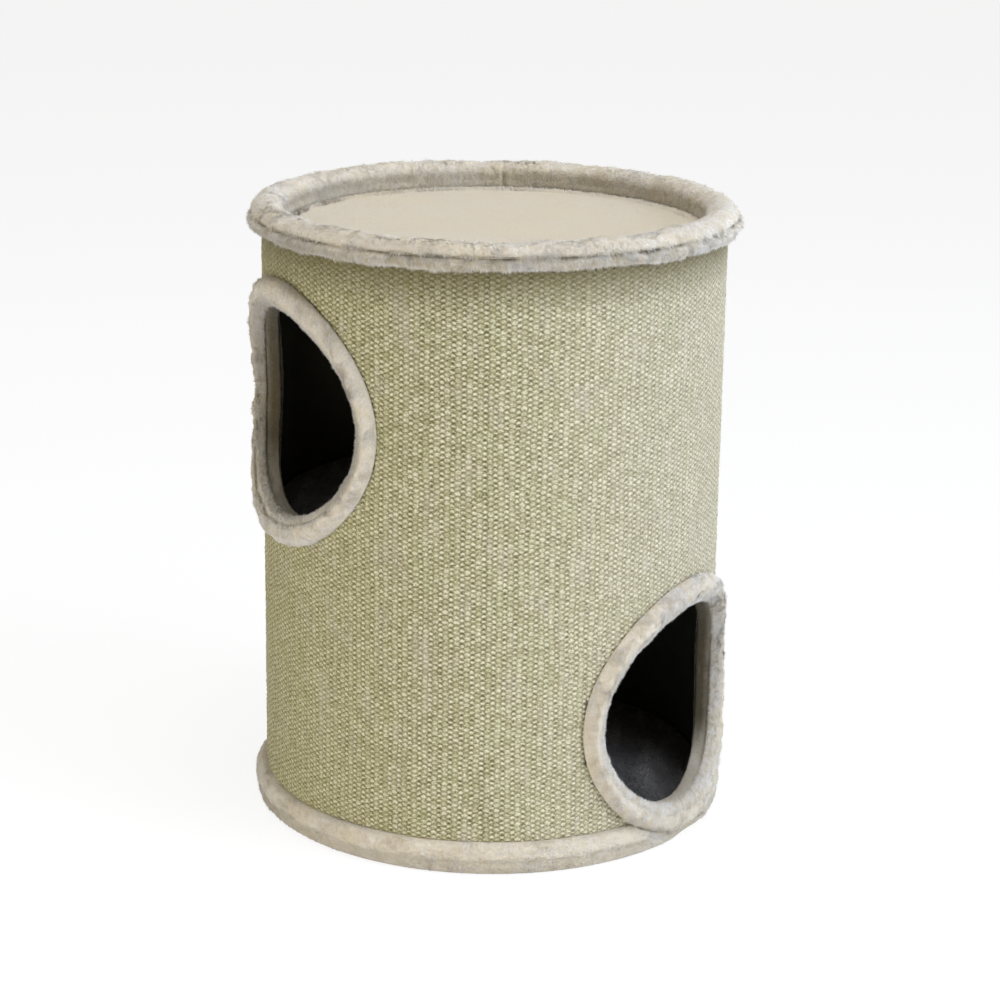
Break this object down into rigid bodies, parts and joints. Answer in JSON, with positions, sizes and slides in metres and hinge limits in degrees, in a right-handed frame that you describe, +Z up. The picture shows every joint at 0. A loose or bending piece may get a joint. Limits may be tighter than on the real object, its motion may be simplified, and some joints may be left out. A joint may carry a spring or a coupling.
{
  "type": "cylindrical cat scratcher",
  "caption": "Upright drum cat scratcher wound in woven sisal, with a round plush-edged entrance to each of its dens and a plush tray on top.",
  "frame": {"origin": "on the drum's axis, on the surface that the scratcher stands on", "axes": "+Z up along the drum's axis; -Y is the front, midway between the two entrances; +X towards the lower entrance's side"},
  "size_m": [0.3924, 0.39, 0.5],
  "materials": {
    "tube_board": "plain wound board, matt",
    "deck_board": "plain particle board, matt",
    "sisal": "flat-woven natural sisal, matt and coarse",
    "edging_plush": "short cream plush, matt with a soft sheen",
    "tray_plush": "short cream plush, brushed flat",
    "floor_plush": "short grey plush, matt",
    "lining": "dark needle felt, matt",
    "foam": "open-cell foam",
    "screw_steel": "zinc-plated steel"
  },
  "bodies": {
    "root": {"drum_tube": "tube_board", "sisal_mat": "sisal", "lower_lining": "lining", "upper_lining": "lining", "bottom_board": "deck_board", "middle_board": "deck_board", "top_board": "deck_board", "bottom_board_screw_1": "screw_steel", "bottom_board_screw_2": "screw_steel", "bottom_board_screw_3": "screw_steel", "bottom_board_screw_4": "screw_steel", "middle_board_screw_1": "screw_steel", "middle_board_screw_2": "screw_steel", "middle_board_screw_3": "screw_steel", "middle_board_screw_4": "screw_steel", "top_board_screw_1": "screw_steel", "top_board_screw_2": "screw_steel", "top_board_screw_3": "screw_steel", "top_board_screw_4": "screw_steel", "lower_floor_plush": "floor_plush", "upper_floor_plush": "floor_plush", "tray_foam": "foam", "tray_plush": "tray_plush", "rim_foam": "foam", "rim_cover": "edging_plush", "base_foam": "foam", "base_cover": "edging_plush", "upper_entrance_foam": "foam", "upper_entrance_roll": "edging_plush", "upper_entrance_reveal": "edging_plush", "lower_entrance_foam": "foam", "lower_entrance_roll": "edging_plush", "lower_entrance_reveal": "edging_plush"}
  },
  "joints": []
}
